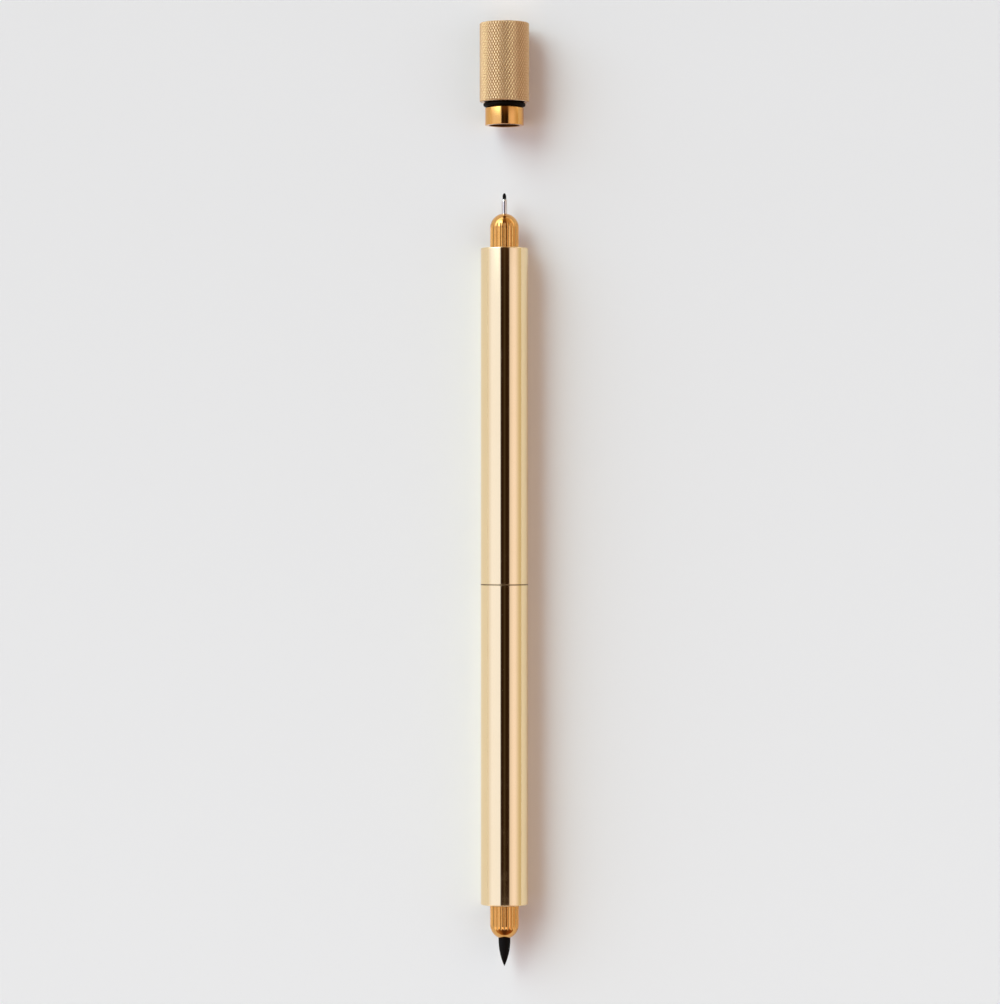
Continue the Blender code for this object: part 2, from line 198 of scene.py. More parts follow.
def newTree(name, sizes):
    tree = bpy.data.node_groups.new(name, "GeometryNodeTree")
    tree.interface.new_socket("Geometry", in_out="INPUT", socket_type="NodeSocketGeometry")
    for label in sizes:
        tree.interface.new_socket(label, in_out="INPUT", socket_type="NodeSocketFloat")
    tree.interface.new_socket("Geometry", in_out="OUTPUT", socket_type="NodeSocketGeometry")
    source = tree.nodes.new("NodeGroupInput")
    return {socket.name: Wire(tree, socket) for socket in source.outputs if socket.name}


def closeTree(shape, material):
    plain = shape.node("GeometryNodeRealizeInstances", None, {0: shape})
    painted = plain.node("GeometryNodeSetMaterial", None, {"Geometry": plain, "Material": material})
    painted.node("NodeGroupOutput", None, {0: painted})
    return shape.tree


def grown(piece, tree, sizes):
    modifier = piece.modifiers.new(tree.name, "NODES")
    modifier.node_group = tree
    for socket in tree.interface.items_tree:
        if socket.in_out == "INPUT" and socket.name in sizes:
            modifier[socket.identifier] = float(sizes[socket.name])
    bpy.context.view_layer.update()
    ready = piece.evaluated_get(bpy.context.evaluated_depsgraph_get())
    mesh = bpy.data.meshes.new_from_object(ready)
    piece.modifiers.clear()
    spare = piece.data
    piece.data = mesh
    bpy.data.meshes.remove(spare)
    mesh.name = piece.name


def newMaterial(name):
    made = bpy.data.materials.new(name)
    made.use_nodes = True
    made.node_tree.nodes.clear()
    return made, Wire(made.node_tree)


def finished(net, settings, normal):
    shader = net.node("ShaderNodeBsdfPrincipled", None, {**settings, "Normal": normal})
    net.node("ShaderNodeOutputMaterial", None, {"Surface": shader})


def roundPlaces(net, height):  # along the axis, out from it and round it
    place = net.node("ShaderNodeTexCoord", out="Object")
    x, y, z = place.split()
    rise = z - height
    return place, y, (x * x + rise * rise).math("SQRT"), x.math("ARCTAN2", x, rise)


def cloud(place, scale, detail=3.0, rough=0.5):
    sockets = {"Vector": place, "Scale": scale, "Detail": detail, "Roughness": rough}
    return place.node("ShaderNodeTexNoise", None, sockets)


def fineLines(value, scale, detail=2.0):
    sockets = {"W": value, "Scale": scale, "Detail": detail}
    return value.node("ShaderNodeTexNoise", {"noise_dimensions": "1D"}, sockets)


def bumped(height, strength, distance):
    return height.node("ShaderNodeBump", None, {"Height": height, "Strength": strength, "Distance": distance})


# the seam colour is painted shade for the gap between the two halves
polished = {
    "pale": (0.95, 0.745, 0.445), "warm": (0.91, 0.685, 0.375), "seamShade": (0.16, 0.085, 0.03),
    "gloss": 0.06, "rim": 0.6, "seam": 0.04, "seamEdge": 0.12,
}


def polishedBrass(name, line, ends):
    made, net = newMaterial(name)
    place, along, radius, angle = roundPlaces(net, line["height"])
    drift = cloud(place, 45.0, 2.0)
    smudge = cloud(place, 260.0, 4.0).fade(0.45, 0.75)
    lines = fineLines(along + radius * 1.3, 7000.0)
    rim = 0.0
    for end in ends:  # handled edges are a touch duller
        rim = rim + (1 - (along - end).math("ABSOLUTE").fade(0.0, polished["rim"] * mm))
    fromSeam = (along - ends[1]).math("ABSOLUTE")  # the seam between the halves is painted dark, as painted shade in the gap, and made rougher
    seamShade = 1 - fromSeam.fade(polished["seam"] * mm, polished["seamEdge"] * mm)
    colour = (drift * 0.6 + rim * 0.3 + smudge * 0.1).tint(polished["pale"], polished["warm"])
    colour = seamShade.tint(colour, polished["seamShade"])
    rough = polished["gloss"] + smudge * 0.03 + lines * 0.02 + rim * 0.08 + seamShade * 0.3
    finished(net, {"Base Color": colour, "Metallic": 1.0, "Roughness": rough}, bumped(lines, 0.02, 0.00002))
    return made


# tones: the crest colour, then painted shade for the grooves and for the bores
turnedTones = {"light": (0.83, 0.43, 0.125), "grooveShade": (0.62, 0.265, 0.05), "boreShade": (0.09, 0.035, 0.01)}


def turnedBrass(name, line, low, high, inside, gloss, plainFrom, grain=0.0):
    made, net = newMaterial(name)
    place, along, radius, angle = roundPlaces(net, line["height"])
    station = (along - line["start"]) * line["way"]
    plain = station.fade((plainFrom - 0.4) * mm, (plainFrom + 0.2) * mm)  # no grooves or bore past here
    crest = radius.fade(low, high)  # grooves take painted shade below low, crests keep the light tone above high
    crest = crest.math("MAXIMUM", crest, plain)
    boreShadeMask = (1 - radius.fade(inside, inside + 0.12 * mm)) * (1 - plain)  # bores are painted dark as painted shade, and made rougher
    lines = fineLines(along + radius * 1.3, 9000.0, 3.0)
    stain = cloud(place, 500.0, 3.0)
    colour = (0.6 * (1 - crest) + 0.3 * stain).tint(turnedTones["light"], turnedTones["grooveShade"])
    colour = boreShadeMask.tint(colour, turnedTones["boreShade"])
    rough = gloss + lines * 0.05 + (1 - plain) * grain + boreShadeMask * 0.25
    finished(net, {"Base Color": colour, "Metallic": 1.0, "Roughness": rough}, bumped(lines, 0.05, 0.00003))
    return made


# the root tone is painted shade in the knurl's hollows
knurlTones = {
    "crest": (0.69, 0.465, 0.255), "rootShade": (0.47, 0.28, 0.12), "gloss": 0.42, "endFrom": 0.26, "endTo": 0.18,
}


def knurledBrass(name, line, low, high):
    made, net = newMaterial(name)
    place, along, radius, angle = roundPlaces(net, line["height"])
    crest = radius.fade(low, high)
    half = capLength / 2
    fromMiddle = (along - line["start"] - half * mm).math("ABSOLUTE")
    end = fromMiddle.fade((half - knurlTones["endFrom"]) * mm, (half - knurlTones["endTo"]) * mm)
    crest = crest.math("MAXIMUM", crest, end)  # the chamfers and end faces are turned bright
    wear = cloud(place, 700.0, 3.0)
    # knurl roots are painted darker than the crests, as painted shade in the hollows
    colour = (crest * (0.85 + 0.3 * wear)).tint(knurlTones["rootShade"], knurlTones["crest"])
    rough = knurlTones["gloss"] + (1 - crest) * 0.06 - wear * 0.06
    finished(net, {"Base Color": colour, "Metallic": 1.0, "Roughness": rough}, bumped(wear, 0.1, 0.00004))
    return made


steelTones = {"bright": (0.72, 0.65, 0.60), "stained": (0.54, 0.47, 0.43), "gloss": 0.13}


def drawnSteel(name, line):
    made, net = newMaterial(name)
    place, along, radius, angle = roundPlaces(net, line["height"])
    drawn = fineLines(angle, 40.0, 3.0)  # drawing lines run along the tube
    stain = cloud(place, 900.0, 3.0)
    colour = (stain * 0.5).tint(steelTones["bright"], steelTones["stained"])
    rough = steelTones["gloss"] + drawn * 0.08
    finished(net, {"Base Color": colour, "Metallic": 1.0, "Roughness": rough}, bumped(drawn, 0.05, 0.00002))
    return made


rubberTones = {"clean": (0.005, 0.003, 0.002), "dusty": (0.016, 0.012, 0.009), "gloss": 0.42, "shine": 0.04}


def mouldedRubber(name):
    made, net = newMaterial(name)
    place = net.node("ShaderNodeTexCoord", out="Object")
    grain = cloud(place, 9000.0, 2.0)
    dust = cloud(place, 600.0, 5.0).fade(0.5, 0.8)
    colour = (dust * 0.5).tint(rubberTones["clean"], rubberTones["dusty"])
    rough = rubberTones["gloss"] + dust * 0.25
    settings = {"Base Color": colour, "Roughness": rough, "Specular IOR Level": rubberTones["shine"]}
    finished(net, settings, bumped(grain, 0.15, 0.00003))
    return made


inkTones = {"dark": (0.002, 0.0015, 0.0015), "pale": (0.009, 0.007, 0.007), "shine": 0.05}


def inkedFibre(name, line, strands, gloss):
    made, net = newMaterial(name)
    place, along, radius, angle = roundPlaces(net, line["height"])
    combed = net.joined(angle * strands, along * 120.0, radius * 300.0)
    fibre = cloud(combed, 1.0, 4.0, 0.65)
    colour = fibre.tint(inkTones["dark"], inkTones["pale"])
    rough = gloss + fibre * 0.25
    settings = {"Base Color": colour, "Roughness": rough, "Specular IOR Level": inkTones["shine"]}
    finished(net, settings, bumped(fibre, 0.35, 0.00004))
    return made


feltTones = {"wet": (0.02, 0.02, 0.025), "dry": (0.07, 0.07, 0.085), "gloss": 0.75}


def soakedFelt(name):
    made, net = newMaterial(name)
    place = net.node("ShaderNodeTexCoord", out="Object")
    felt = cloud(place, 2500.0, 5.0, 0.7)
    colour = felt.tint(feltTones["wet"], feltTones["dry"])
    rough = feltTones["gloss"] + felt * 0.2
    finished(net, {"Base Color": colour, "Roughness": rough}, bumped(felt, 0.5, 0.0001))
    return made


def mouldedPlastic(name, tone, shade, gloss):
    made, net = newMaterial(name)
    place = net.node("ShaderNodeTexCoord", out="Object")
    flow = cloud(place, 180.0, 2.0)
    grain = cloud(place, 6000.0, 2.0)
    colour = (flow * 0.7).tint(tone, shade)
    finished(net, {"Base Color": colour, "Roughness": gloss + grain * 0.1}, bumped(grain, 0.08, 0.00003))
    return made


noseFinish = {
    "low": 2.78 * mm, "high": 2.97 * mm, "inside": 0.6 * mm, "gloss": 0.1, "grain": 0.12,
    "plainFrom": domeBase,
}
couplingFinish = {"low": 3.4 * mm, "high": 4.0 * mm, "inside": 1.0 * mm, "gloss": 0.12, "plainFrom": 0.0}
capPlain = capLength - 2.0
knurlFinish = {"low": 5.12 * mm, "high": 5.195 * mm}
capFinish = {"low": 3.4 * mm, "high": 4.0 * mm, "inside": 3.16 * mm, "gloss": 0.08, "plainFrom": capPlain}

upperBrass = polishedBrass("polishedBrassUpper", upperLine, [upperLine["start"], barrelLow.y])
lowerBrass = polishedBrass("polishedBrassLower", lowerLine, [lowerLine["start"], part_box("brush_barrel")[1].y])
upperNoseBrass = turnedBrass("turnedBrassUpper", upperLine, **noseFinish)
lowerNoseBrass = turnedBrass("turnedBrassLower", lowerLine, **noseFinish)
couplingBrass = turnedBrass("turnedBrassCoupling", upperLine, **couplingFinish)
capBrass = turnedBrass("turnedBrassCap", capLine, **capFinish)
gripBrass = knurledBrass("knurledBrassCap", capLine, **knurlFinish)
needleSteel = drawnSteel("drawnSteelSleeve", upperLine)
rubber = mouldedRubber("blackRubber")
tipFibre = inkedFibre("inkedTip", upperLine, strands=6.0, gloss=0.45)
brushFibre = inkedFibre("inkedBrush", lowerLine, strands=14.0, gloss=0.36)
felt = soakedFelt("soakedFelt")
holderPlastic = mouldedPlastic("holderPlastic", (0.76, 0.76, 0.74), (0.68, 0.68, 0.66), gloss=0.35)
tubePlastic = mouldedPlastic("cartridgePlastic", (0.56, 0.58, 0.61), (0.48, 0.50, 0.54), gloss=0.2)
plugPlastic = mouldedPlastic("plugPlastic", (0.030, 0.030, 0.031), (0.022, 0.022, 0.024), gloss=0.35)
print("finishes made")


barrelPlan = {
    "radius": 5.0, "edge": 0.12, "seamEdge": 0.05, "socket": 4.5, "leadIn": 0.15, "bore": 3.81,
    "frontDepth": 6.5, "rearDepth": 8.3, "upperLength": 70.75, "lowerLength": 67.25, "steps": 192,
}


def barrel(name, line, length, material, body, node):
    b = barrelPlan
    mouth = b["socket"] + b["leadIn"]
    profile = eased([
        (0.0, mouth, 0.03), (0.0, b["radius"] - b["edge"], 0.05), (-b["edge"], b["radius"], 0.08),
        (-length + b["seamEdge"], b["radius"], 0.02), (-length, b["radius"] - b["seamEdge"], 0.02),
        (-length, mouth, 0.03), (-length + b["leadIn"], b["socket"], 0.06),
        (-length + b["rearDepth"], b["socket"]), (-length + b["rearDepth"], b["bore"], 0.05),
        (-b["frontDepth"], b["bore"], 0.1), (-b["frontDepth"], b["socket"]),
        (-b["leadIn"], b["socket"], 0.06),
    ])
    piece = added(name, turned(profile, line, b["steps"]))
    settled(piece, material, body, [node])


upperLength, lowerLength = barrelPlan["upperLength"], barrelPlan["lowerLength"]
barrel("finelinerTube", upperLine, upperLength, upperBrass, "fineliner_half", "fineliner_barrel")
barrel("brushTube", lowerLine, lowerLength, lowerBrass, "brush_half", "brush_barrel")
print("barrels turned")


nosePlan = {
    "radius": 3.0, "domeBase": domeBase, "bore": 2.2, "flangeFront": -5.2, "flangeBack": -5.9, "flange": 4.35,
    "shankBack": -13.5, "shank": 3.73, "core": 3.30, "footIn": 0.1, "footLength": 0.25, "fillet": 0.1,
    "flutes": 24, "fluteBack": -4.9, "cutterRadius": 0.316, "cutterCentre": 3.166, "columns": 12,
    "grip": [0.0, 0.03, 0.1, 0.25, 0.5, 0.75, 0.9, 0.97, 1.0], "domeSteps": 18,
    "finelinerHole": 0.6, "brushHole": 1.3, "holeStep": 0.02, "holeLip": 0.06,
}
threadPlan = {
    "pitch": 1.0, "turns": 6.3, "from": 0.35, "sunk": 0.03, "rise": 2.5, "rootWidth": 1.9, "crestWidth": 0.14,
    "resolution": 64,
}


def fluteTree(material):
    sizes = newTree("fluteCut", [
        "Flutes", "NoseRadius", "CutterRadius", "CutterCentre", "DomeBase", "GripBack", "RimAngle",
        "Start", "Way", "Height",
    ])
    shape, nose, cutter = sizes["Geometry"], sizes["NoseRadius"], sizes["CutterRadius"]
    run = shape.node("GeometryNodeInputNamedAttribute", {"data_type": "FLOAT"}, {"Name": "run"})
    x, y, z = shape.node("GeometryNodeInputPosition").split()
    around = x.math("ARCTAN2", x, z - sizes["Height"])
    half = pi / sizes["Flutes"]
    swing = around.math("WRAP", around, half, -1 * half)  # angle from the middle of the nearest flute
    side = sizes["CutterCentre"] * swing.math("SINE", swing)
    reach = (cutter * cutter - side * side).math("MAXIMUM", cutter * cutter - side * side, 0.0)
    floor = sizes["CutterCentre"] * swing.math("COSINE", swing) - reach.math("SQRT", reach)
    floor = floor.math("MINIMUM", floor, nose)
    tilt = floor.math("ARCSINE", floor / nose)  # where on the dome this line of the flute runs out
    runOut = sizes["DomeBase"] + nose * tilt.math("COSINE", tilt)
    gripAlong = sizes["GripBack"] + run * (runOut - sizes["GripBack"])
    bend = tilt + (run - 1) * (sizes["RimAngle"] - tilt)
    domeAlong = sizes["DomeBase"] + nose * bend.math("COSINE", bend)
    domeOut = nose * bend.math("SINE", bend)
    onDome = run > 1.0001
    along = gripAlong + onDome * (domeAlong - gripAlong)
    out = floor + onDome * (domeOut - floor)
    spot = shape.joined(
        out * around.math("SINE", around),
        sizes["Start"] + sizes["Way"] * along,
        sizes["Height"] + out * around.math("COSINE", around),
    )
    cut = shape.node("GeometryNodeSetPosition", None, {
        "Geometry": shape, "Selection": run > 0.0001, "Position": spot,
    })
    return closeTree(cut, material)


def threadTree(material):  # widths are in pitches, and the ridge rises out of the core over part of a turn
    t = threadPlan
    sizes = newTree("shankThread", ["Turns", "Pitch", "CoreRadius", "Ridge", "Start", "Way", "Height"])
    shape = sizes["Geometry"]
    helix = shape.node("GeometryNodeCurveSpiral", None, {
        "Resolution": t["resolution"], "Rotations": sizes["Turns"], "Start Radius": sizes["CoreRadius"],
        "End Radius": sizes["CoreRadius"], "Height": sizes["Turns"] * sizes["Pitch"], "Reverse": True,
    })
    helix = helix.node("GeometryNodeSetCurveNormal", {"mode": "Z_UP"}, {"Curve": helix})
    share = helix.node("GeometryNodeSplineParameter", out="Factor")
    ends = share.math("MINIMUM", share, 1 - share) * sizes["Turns"] * t["rise"]
    helix = helix.node("GeometryNodeSetCurveRadius", None, {
        "Curve": helix, "Radius": ends.math("MINIMUM", ends, 1.0),
    })
    ridge = helix.node("GeometryNodeCurvePrimitiveQuadrilateral", {"mode": "TRAPEZOID"}, {
        "Bottom Width": sizes["Pitch"] * t["rootWidth"], "Top Width": sizes["Pitch"] * t["crestWidth"],
        "Height": sizes["Ridge"] * 2, "Offset": 0.0,
    })
    ridge = ridge.node("GeometryNodeTransform", None, {"Geometry": ridge, "Rotation": (0.0, 0.0, -pi / 2)})
    wound = helix.node("GeometryNodeCurveToMesh", None, {
        "Curve": helix, "Profile Curve": ridge, "Fill Caps": True,
    })
    x, y, z = wound.node("GeometryNodeInputPosition").split()
    spot = wound.joined(x, sizes["Start"] + sizes["Way"] * z, sizes["Height"] - sizes["Way"] * y)
    laid = wound.node("GeometryNodeSetPosition", None, {"Geometry": wound, "Position": spot})
    return closeTree(laid, material)


def nose(name, line, hole, material, body, node):
    n, t = nosePlan, threadPlan
    rim = asin(hole / n["radius"])
    dome = [1.0 + k / n["domeSteps"] for k in range(1, n["domeSteps"] + 1)]
    profile = [(n["fluteBack"] + s * (n["domeBase"] - n["fluteBack"]), n["radius"]) for s in n["grip"]]
    for s in dome:
        bend = pi / 2 + (s - 1) * (rim - pi / 2)
        profile.append((n["domeBase"] + n["radius"] * cos(bend), n["radius"] * sin(bend)))
    face = n["domeBase"] + sqrt(n["radius"] ** 2 - hole**2)
    inside = hole - n["holeStep"]
    rest = eased([
        (face - n["holeLip"], inside), (n["domeBase"], inside),
        (n["domeBase"], n["bore"]), (n["shankBack"], n["bore"]),
        (n["shankBack"], n["core"] - n["footIn"], 0.1), (n["shankBack"] + n["footLength"], n["core"], 0.1),
        (n["flangeBack"], n["core"]), (n["flangeBack"], n["flange"], 0.06),
        (n["flangeFront"], n["flange"], 0.12), (n["flangeFront"], n["radius"] + n["fillet"]),
        (n["flangeFront"] + n["fillet"], n["radius"]),
    ])
    runs = n["grip"] + dome + [0.0] * len(rest)
    piece = added(name, turned(profile + rest, line, n["flutes"] * n["columns"], runs))
    place = {"Start": line["start"], "Way": line["way"], "Height": line["height"]}
    grown(piece, fluteTree(material), {
        "Flutes": n["flutes"], "NoseRadius": n["radius"] * mm, "CutterRadius": n["cutterRadius"] * mm,
        "CutterCentre": n["cutterCentre"] * mm, "DomeBase": n["domeBase"] * mm,
        "GripBack": n["fluteBack"] * mm, "RimAngle": rim, **place,
    })
    thread = added(name + "Thread", bmesh.new())
    place["Start"] += line["way"] * (n["shankBack"] + t["from"]) * mm
    grown(thread, threadTree(material), {
        "Turns": t["turns"], "Pitch": t["pitch"] * mm, "CoreRadius": n["core"] * mm,
        "Ridge": (n["shank"] - n["core"] - t["sunk"]) * mm, **place,
    })
    settled(piece, material, body, [node], sharp=14)
    settled(thread, material, body, [node], sharp=40)


upperHole, lowerHole = nosePlan["finelinerHole"], nosePlan["brushHole"]
nose("finelinerNose", upperLine, upperHole, upperNoseBrass, "fineliner_nose_unit", "fineliner_nose")
nose("brushNose", lowerLine, lowerHole, lowerNoseBrass, "brush_nose_unit", "brush_nose")
print("noses fluted and threaded")


needlePlan = {
    "sleeve": 0.55, "inside": 0.425, "front": 10.239, "back": -0.7, "crimp": 0.35, "crimpIn": 0.1,
    "steps": 64, "tip": 0.375, "tipPoint": 0.75, "tipFront": 11.589, "tipBack": -25.6,
    "tipArc": 12, "tipSteps": 48,
}


def needle():
    n = needlePlan
    outside = eased([
        (n["front"], n["inside"], 0.02), (n["front"], n["sleeve"] - n["crimpIn"], 0.03),
        (n["front"] - n["crimp"], n["sleeve"], 0.12),
        (n["back"], n["sleeve"], 0.03), (n["back"], n["inside"]),
    ])
    sleeve = added("needleSleeve", turned(outside, upperLine, n["steps"]))
    settled(sleeve, needleSteel, "fineliner_refill_unit", ["fineliner_sleeve"])
    base = n["tipFront"] - n["tipPoint"]
    bends = [k * pi / 2 / n["tipArc"] for k in range(1, n["tipArc"] + 1)]
    point = [(base + n["tipPoint"] * cos(bend), n["tip"] * sin(bend)) for bend in bends]
    rod = [(n["tipFront"], 0.0), *point, (n["tipBack"], n["tip"]), (n["tipBack"], 0.0)]
    tip = added("fineTip", turned(rod, upperLine, n["tipSteps"]))
    settled(tip, tipFibre, "fineliner_refill_unit", ["fineliner_tip"])


brushPlan = {
    "radius": 1.25, "base": 7.004, "reach": 6.05, "fullness": 2.25,
    "stemBack": -4.7, "tail": 0.9, "back": -25.6, "rings": 28, "crowding": 1.3, "steps": 160,
    "ridges": 0.05, "ridgeRise": 6, "strands": 9.0, "drift": 60.0, "seed": 4.0,
}


def bristleTree(material):
    sizes = newTree("brushBristles", ["Ridges", "Strands", "Seed", "Height"])
    shape = sizes["Geometry"]
    run = shape.node("GeometryNodeInputNamedAttribute", {"data_type": "FLOAT"}, {"Name": "run"})
    x, y, z = shape.node("GeometryNodeInputPosition").split()
    rise = z - sizes["Height"]
    angle = x.math("ARCTAN2", x, rise)
    spot = shape.joined(
        angle.math("SINE", angle) * sizes["Strands"], y * brushPlan["drift"] + sizes["Seed"],
        angle.math("COSINE", angle) * sizes["Strands"],
    )
    strand = cloud(spot, 1.0, 2.0)
    share = 1 + sizes["Ridges"] * run * (1 - 2 * strand)  # bristles lie proud or sunk by their own strand
    moved = shape.joined(x * share, y, sizes["Height"] + rise * share)
    combed = shape.node("GeometryNodeSetPosition", None, {"Geometry": shape, "Position": moved})
    return closeTree(combed, material)


def brushNib():
    b = brushPlan
    shares = [1.0 - (k / b["rings"]) ** b["crowding"] for k in range(b["rings"] + 1)]
    point = [(b["base"] + b["reach"] * u, b["radius"] * (1 - u ** b["fullness"])) for u in shares]
    point[0] = (b["base"] + b["reach"], 0.0)
    stem = [(b["stemBack"], b["radius"]), (b["stemBack"], b["tail"])]
    stem += [(b["back"], b["tail"]), (b["back"], 0.0)]
    runs = [min(1.0, u * b["ridgeRise"]) for u in shares] + [0.0] * len(stem)
    piece = added("brushTip", turned(point + stem, lowerLine, b["steps"], runs))
    grown(piece, bristleTree(brushFibre), {
        "Ridges": b["ridges"], "Strands": b["strands"], "Seed": b["seed"], "Height": penHeight,
    })
    settled(piece, brushFibre, "brush_refill_unit", ["brush_nib"], sharp=40)


needle()
brushNib()
print("nibs made")


ringPlan = {"cord": 0.95, "inside": 3.5, "middle": -0.535, "flash": 0.012, "sides": 32, "steps": 128}


def ring(name, line, middle, body, node):
    r = ringPlan
    half = r["cord"] / 2
    profile = []
    for k in range(r["sides"]):
        angle = 2 * pi * k / r["sides"]
        out = half + (r["flash"] if k % (r["sides"] // 2) == 0 else 0.0)  # moulding line inside and outside
        profile.append((middle + out * sin(angle), r["inside"] + half + out * cos(angle)))
    piece = added(name, turned(profile, line, r["steps"]))
    settled(piece, rubber, body, [node], sharp=60)


sealPlan = {"front": -5.95, "back": -6.45, "inside": 3.78, "outside": 4.35, "steps": 96}


def seal(name, line, body, node):
    s = sealPlan
    profile = eased([
        (s["front"], s["inside"], 0.05), (s["front"], s["outside"], 0.08),
        (s["back"], s["outside"], 0.08), (s["back"], s["inside"], 0.05),
    ])
    settled(added(name, turned(profile, line, s["steps"])), rubber, body, [node])


couplingPlan = {
    "base": 8.0, "spigot": 8.0, "baseRadius": 4.45, "radius": 4.07, "floor": 3.45, "bottom": -1.27,
    "chamfer": 0.4, "drill": 1.1, "neck": 0.4, "neckDepth": 0.7, "drillDepth": 1.2, "steps": 160,
}


def coupling():  # the spigot's end is centre-drilled
    c = couplingPlan
    seam = -lowerLength
    top, end, slant = seam + c["base"], seam - c["spigot"], c["chamfer"]
    profile = eased([
        (top, 0.0), (top, c["baseRadius"] - slant, 0.08), (top - slant, c["baseRadius"], 0.08),
        (seam, c["baseRadius"], 0.05), (seam, c["floor"], 0.06),
        (seam + c["bottom"], c["floor"], 0.06), (seam + c["bottom"], c["radius"], 0.04),
        (end + slant, c["radius"], 0.1), (end, c["radius"] - slant, 0.08),
        (end, c["drill"], 0.04), (end + c["neckDepth"], c["neck"], 0.04), (end + c["drillDepth"], 0.0),
    ])
    piece = added("couplingPlug", turned(profile, lowerLine, c["steps"]))
    settled(piece, couplingBrass, "brush_half", ["coupling_spigot"])
    ring("couplingRing", lowerLine, seam + ringPlan["middle"], "brush_half", "coupling_o_ring")


seal("finelinerSeal", upperLine, "fineliner_nose_unit", "fineliner_nose_seal")
seal("brushSeal", lowerLine, "brush_nose_unit", "brush_nose_seal")
coupling()
print("seals and coupling made")


capPlan = {
    "length": capLength, "core": 4.75, "radius": 4.07, "floor": 3.45, "bottom": -1.27, "spigot": 4.9,
    "edge": 0.06, "bore": 3.15, "noseDepth": 7.7, "tipBore": 2.0, "tipDepth": 13.654, "point": 0.8,
    "knurl": 5.2, "depth": 0.08, "starts": 54, "helix": 28.4, "flat": 0.6, "weld": 0.004,
    "chamfer": 0.2, "chamferCuts": 4, "leadIn": 0.12, "steps": 192, "cutSlack": 1e-5, "rimSlack": 0.001,
}


def capBody():
    c = capPlan
    profile = eased([
        (c["length"], 0.0), (c["length"], c["core"]), (0.0, c["core"]), (0.0, c["floor"], 0.06),
        (c["bottom"], c["floor"], 0.06), (c["bottom"], c["radius"], 0.04),
        (-c["spigot"] + c["edge"], c["radius"], 0.06), (-c["spigot"], c["radius"] - c["edge"], 0.04),
        (-c["spigot"], c["bore"] + c["leadIn"], 0.04), (-c["spigot"] + c["leadIn"], c["bore"], 0.05),
        (c["noseDepth"], c["bore"]), (c["noseDepth"], c["tipBore"], 0.05),
        (c["tipDepth"] - c["point"], c["tipBore"]), (c["tipDepth"], 0.0),
    ])
    piece = added("capBody", turned(profile, capLine, c["steps"]))
    settled(piece, capBrass, "cap", ["cap_shell"])


def knurlTree(material):
    sizes = newTree("diamondKnurl", [
        "Starts", "Radius", "Depth", "Slope", "Flat", "Length", "Start", "Height",
    ])
    shape = sizes["Geometry"]
    wide = pi * sizes["Radius"] / sizes["Starts"]
    tall = wide / sizes["Slope"]
    tile = shape.node("GeometryNodeMeshCircle", {"fill_type": "NGON"}, {"Vertices": 4, "Radius": 1.0})
    raised = tile.tree.nodes.new("GeometryNodeExtrudeMesh")
    tile.tree.links.new(tile.socket, raised.inputs["Mesh"])
    raised.inputs["Offset Scale"].default_value = 1.0
    tooth = tile.node("GeometryNodeScaleElements", {"domain": "FACE"}, {
        "Geometry": Wire(tile.tree, raised.outputs["Mesh"]),
        "Selection": Wire(tile.tree, raised.outputs["Top"]), "Scale": sizes["Flat"],
    })
    spread = shape.joined(wide, tall, sizes["Depth"])
    tooth = tooth.node("GeometryNodeTransform", None, {"Geometry": tooth, "Scale": spread})
    rows = (sizes["Length"] / tall).math("CEIL", sizes["Length"] / tall) + 3
    index = shape.node("GeometryNodeInputIndex")
    row = (index / sizes["Starts"]).math("FLOOR", (index + 0.5) / sizes["Starts"])
    column = index - row * sizes["Starts"]
    odd = row - 2 * row.math("FLOOR", row / 2 + 0.01)
    spot = shape.joined((column + 0.5 * odd) * 2 * wide, (row - 1) * tall, 0.0)
    points = shape.node("GeometryNodePoints", None, {"Count": rows * sizes["Starts"], "Position": spot})
    teeth = points.node("GeometryNodeInstanceOnPoints", None, {"Points": points, "Instance": tooth})
    teeth = teeth.node("GeometryNodeRealizeInstances", None, {0: teeth})
    x, y, z = teeth.node("GeometryNodeInputPosition").split()
    angle = x / sizes["Radius"]
    out = sizes["Radius"] - sizes["Depth"] + z
    rise = out * angle.math("COSINE", angle)
    rolled = teeth.joined(out * angle.math("SINE", angle), sizes["Start"] + y, sizes["Height"] + rise)
    teeth = teeth.node("GeometryNodeSetPosition", None, {"Geometry": teeth, "Position": rolled})
    weld = capPlan["weld"] * mm
    teeth = teeth.node("GeometryNodeMergeByDistance", None, {"Geometry": teeth, "Distance": weld})
    return closeTree(teeth, material)


def stitched(shape, rim, inner):  # a flat face between two rings of the cap, walked round by angle
    def around(vert):
        return atan2(vert.co.x, vert.co.z - capHeight)

    rings = [sorted(rim, key=around), sorted(inner, key=around)]
    spots = [[around(vert) for vert in ring] + [around(ring[0]) + 2 * pi] for ring in rings]
    step = [0, 0]
    while step[0] < len(rings[0]) or step[1] < len(rings[1]):
        done = [step[n] == len(rings[n]) for n in (0, 1)]
        side = 1 if done[0] or (not done[1] and spots[1][step[1] + 1] < spots[0][step[0] + 1]) else 0
        corners = [rings[n][step[n] % len(rings[n])] for n in (0, 1)]
        step[side] += 1
        shape.faces.new((*corners, rings[side][step[side] % len(rings[side])]))


def sliced(shape, y, way=1, clear=False):
    everything = shape.verts[:] + shape.edges[:] + shape.faces[:]
    slack = capPlan["cutSlack"] * mm
    bmesh.ops.bisect_plane(
        shape, geom=everything, dist=slack, plane_co=(0, y, 0), plane_no=(0, way, 0), clear_outer=clear,
    )


